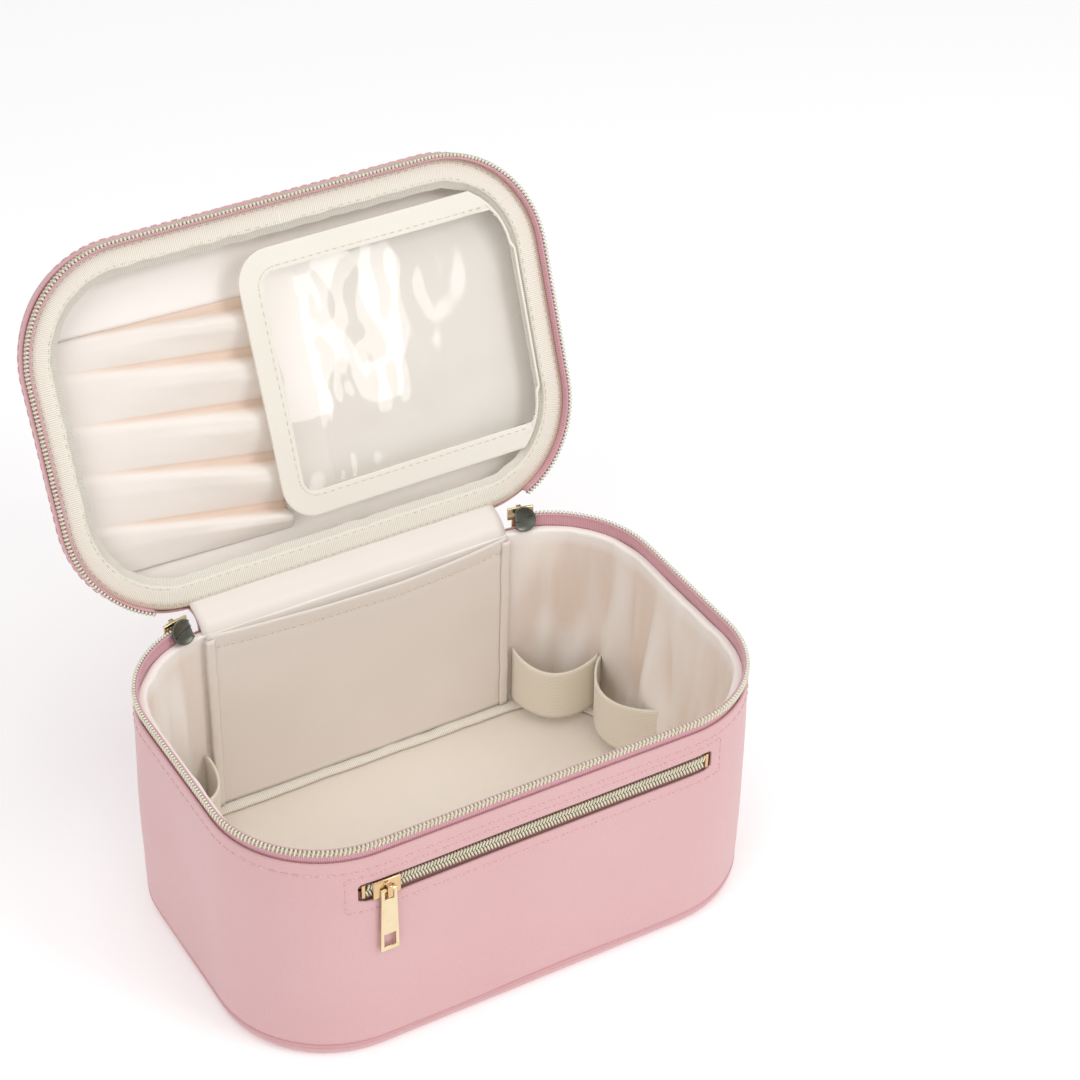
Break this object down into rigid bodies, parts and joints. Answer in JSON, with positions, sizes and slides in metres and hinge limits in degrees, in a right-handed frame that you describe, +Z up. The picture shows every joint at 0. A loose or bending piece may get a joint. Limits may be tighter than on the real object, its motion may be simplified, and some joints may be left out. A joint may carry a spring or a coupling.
{
  "type": "makeup train case",
  "caption": "Soft pink zip-up make-up case standing open, with a hinged lid, carrying handle, brush sleeves, clear flap, elastic loops, slip pockets and a zipped front pocket.",
  "frame": {"origin": "on the floor under the middle of the base", "axes": "+Z up, +X along the width to the case's own left as seen from behind, that is to the right of someone facing its front, -Y to the front with the zipped pocket, +Y to the hinge"},
  "size_m": [0.2496, 0.2732, 0.2695],
  "materials": {
    "pink_leather": "semi-gloss pink polyurethane leather, fine grain",
    "grey_board": "raw grey stiffener board",
    "foam": "off-white polyethylene foam sheet",
    "cream_satin": "cream polyester satin lining",
    "cream_twill": "cream twill lining cloth",
    "cream_ribbed_tape": "cream ribbed grosgrain binding",
    "pink_zip_tape": "pink woven zip tape",
    "gold_coil": "pale gold metallised nylon coil",
    "gold_metal": "polished pale gold plated zinc alloy",
    "nickel_metal": "dark nickel plated zinc alloy",
    "pocket_cloth": "plain pink pocket cloth",
    "ivory_elastic": "ivory ribbed elastic webbing",
    "clear_pvc": "clear flexible vinyl sheet"
  },
  "bodies": {
    "base": {"base_side_panel": "pink_leather", "base_bottom_panel": "pink_leather", "bottom_piping": "pink_leather", "bottom_board": "grey_board", "base_foam": "foam", "base_lining": "cream_satin", "floor_lining": "cream_twill", "floor_pad": "cream_twill", "floor_binding": "cream_ribbed_tape", "base_tape": "pink_zip_tape", "base_coil": "gold_coil", "base_hinge_leaf": "pink_leather", "pocket_tape": "pink_zip_tape", "pocket_coils": "gold_coil", "pocket_stops": "gold_metal", "pocket_bag": "pocket_cloth", "rear_panel": "cream_satin", "rear_pocket_front": "cream_satin", "front_pocket_front": "cream_satin", "elastic_loops": "ivory_elastic", "left_slider": "nickel_metal", "right_slider": "nickel_metal"},
    "lid": {"lid_panel": "pink_leather", "lid_foam": "foam", "lid_lining": "cream_twill", "lid_binding": "cream_ribbed_tape", "lid_tape": "pink_zip_tape", "lid_coil": "gold_coil", "lid_hinge_leaf": "pink_leather", "rear_panel_top": "cream_satin", "brush_sleeves": "cream_satin", "handle_feet": "pink_leather", "handle_rivets": "gold_metal"},
    "handle": {"handle_strap": "pink_leather", "handle_underply": "pink_leather"},
    "flap": {"flap_border": "cream_twill", "flap_window": "clear_pvc", "flap_pocket_sheet": "clear_pvc"},
    "pocket_slider": {"pocket_slider": "gold_metal"},
    "pocket_pull": {"pocket_pull": "gold_metal"},
    "left_pull": {"left_pull": "gold_metal"},
    "right_pull": {"right_pull": "gold_metal"}
  },
  "joints": [
    {"name": "lid_hinge", "type": "hinge", "parent": "base", "child": "lid", "pos_m": [0, 0.0832, 0.116], "axis": [1, 0, 0], "range_deg": [0, 112]},
    {"name": "handle_swing", "type": "hinge", "parent": "lid", "child": "handle", "pos_m": [0, 0.14348, 0.18138], "axis": [1, 0, 0], "range_deg": [-75, 75], "stiffness_Nm_per_rad": 0.3},
    {"name": "flap_hinge", "type": "hinge", "parent": "lid", "child": "flap", "pos_m": [0.1109, 0.12049, 0.19282], "axis": [0, -0.3746, -0.9272], "range_deg": [-110, 0]},
    {"name": "pocket_zip_slide", "type": "slide", "parent": "base", "child": "pocket_slider", "axis": [1, 0, 0], "range_m": [0, 0.1435]},
    {"name": "pocket_pull_swing", "type": "hinge", "parent": "pocket_slider", "child": "pocket_pull", "pos_m": [-0.07175, -0.0849, 0.091], "axis": [-1, 0, 0], "range_deg": [0, 150]},
    {"name": "left_pull_swing", "type": "hinge", "parent": "base", "child": "left_pull", "pos_m": [-0.0868, 0.08333, 0.116], "axis": [0.9703, 0.2419, 0], "range_deg": [0, 50]},
    {"name": "right_pull_swing", "type": "hinge", "parent": "base", "child": "right_pull", "pos_m": [0.0868, 0.08333, 0.116], "axis": [0.9703, -0.2419, 0], "range_deg": [0, 50]}
  ]
}
